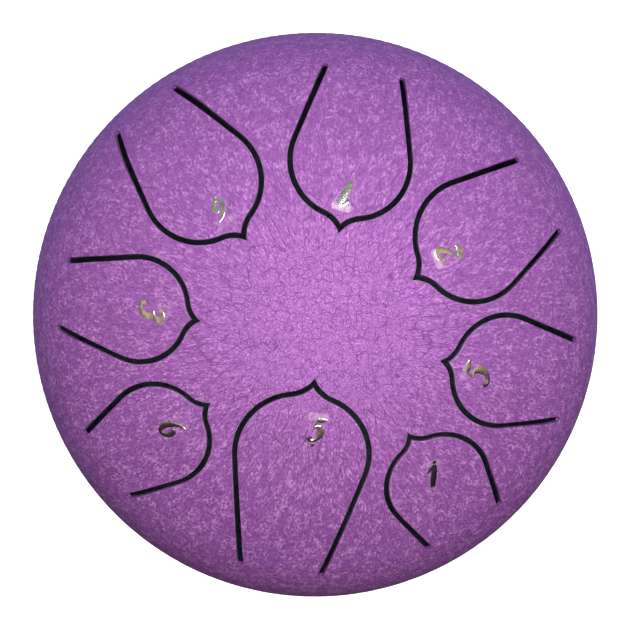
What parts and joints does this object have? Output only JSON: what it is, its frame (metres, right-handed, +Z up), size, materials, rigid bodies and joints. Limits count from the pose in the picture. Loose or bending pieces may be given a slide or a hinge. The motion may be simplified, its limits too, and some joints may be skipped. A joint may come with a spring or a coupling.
{
  "type": "steel tongue drum",
  "caption": "Small steel tongue drum: two welded domed bowls in purple crackle paint, the top slit into onion-shaped sprung tongues with number stickers, on rubber feet.",
  "frame": {"origin": "on the table, under the middle of the drum", "axes": "+Z up, +X to the player's right, +Y away from the player, who sits by the longest tongue"},
  "size_m": [0.1554, 0.1554, 0.091],
  "materials": {
    "purple_paint": "purple crackle paint with fine dark cracks and pale flecks, satin",
    "clear_film": "clear glossy sticker film",
    "foot_rubber": "black matt rubber"
  },
  "bodies": {
    "drum": {"top_shell": "purple_paint", "bottom_shell": "purple_paint", "rim_weld": "purple_paint", "foot_1": "foot_rubber", "foot_2": "foot_rubber", "foot_3": "foot_rubber"},
    "tongue_low_5": {"tongue_low_5": "purple_paint", "sticker_low_5": "clear_film"},
    "tongue_low_6": {"tongue_low_6": "purple_paint", "sticker_low_6": "clear_film"},
    "tongue_1": {"tongue_1": "purple_paint", "sticker_1": "clear_film"},
    "tongue_2": {"tongue_2": "purple_paint", "sticker_2": "clear_film"},
    "tongue_3": {"tongue_3": "purple_paint", "sticker_3": "clear_film"},
    "tongue_5": {"tongue_5": "purple_paint", "sticker_5": "clear_film"},
    "tongue_6": {"tongue_6": "purple_paint", "sticker_6": "clear_film"},
    "tongue_high_1": {"tongue_high_1": "purple_paint", "sticker_high_1": "clear_film"}
  },
  "joints": [
    {"name": "tongue_low_5_flex", "type": "hinge", "parent": "drum", "child": "tongue_low_5", "pos_m": [-0.01041, -0.065, 0.06998], "axis": [0.988, -0.1547, 0], "range_deg": [-0.52, 0.52], "stiffness_Nm_per_rad": 75.6},
    {"name": "tongue_low_6_flex", "type": "hinge", "parent": "drum", "child": "tongue_low_6", "pos_m": [-0.04561, 0.05612, 0.06273], "axis": [-0.7826, -0.6225, 0], "range_deg": [-0.62, 0.62], "stiffness_Nm_per_rad": 48.7},
    {"name": "tongue_1_flex", "type": "hinge", "parent": "drum", "child": "tongue_1", "pos_m": [0.0115, 0.0659, 0.06908], "axis": [-0.9839, 0.1788, 0], "range_deg": [-0.66, 0.66], "stiffness_Nm_per_rad": 55.5},
    {"name": "tongue_2_flex", "type": "hinge", "parent": "drum", "child": "tongue_2", "pos_m": [0.05753, 0.03375, 0.06926], "axis": [-0.515, 0.8572, 0], "range_deg": [-0.68, 0.68], "stiffness_Nm_per_rad": 64.1},
    {"name": "tongue_3_flex", "type": "hinge", "parent": "drum", "child": "tongue_3", "pos_m": [-0.06695, 0.0081, 0.0686], "axis": [-0.1564, -0.9877, 0], "range_deg": [-0.76, 0.76], "stiffness_Nm_per_rad": 51.3},
    {"name": "tongue_5_flex", "type": "hinge", "parent": "drum", "child": "tongue_5", "pos_m": [0.06538, -0.01509, 0.06891], "axis": [0.1977, 0.9803, 0], "range_deg": [-0.77, 0.77], "stiffness_Nm_per_rad": 73.8},
    {"name": "tongue_6_flex", "type": "hinge", "parent": "drum", "child": "tongue_6", "pos_m": [-0.05596, -0.0369, 0.06897], "axis": [0.5563, -0.831, 0], "range_deg": [-0.84, 0.84], "stiffness_Nm_per_rad": 65.2},
    {"name": "tongue_high_1_flex", "type": "hinge", "parent": "drum", "child": "tongue_high_1", "pos_m": [0.03838, -0.05381, 0.06976], "axis": [0.8554, 0.518, 0], "range_deg": [-0.88, 0.88], "stiffness_Nm_per_rad": 80.1}
  ]
}
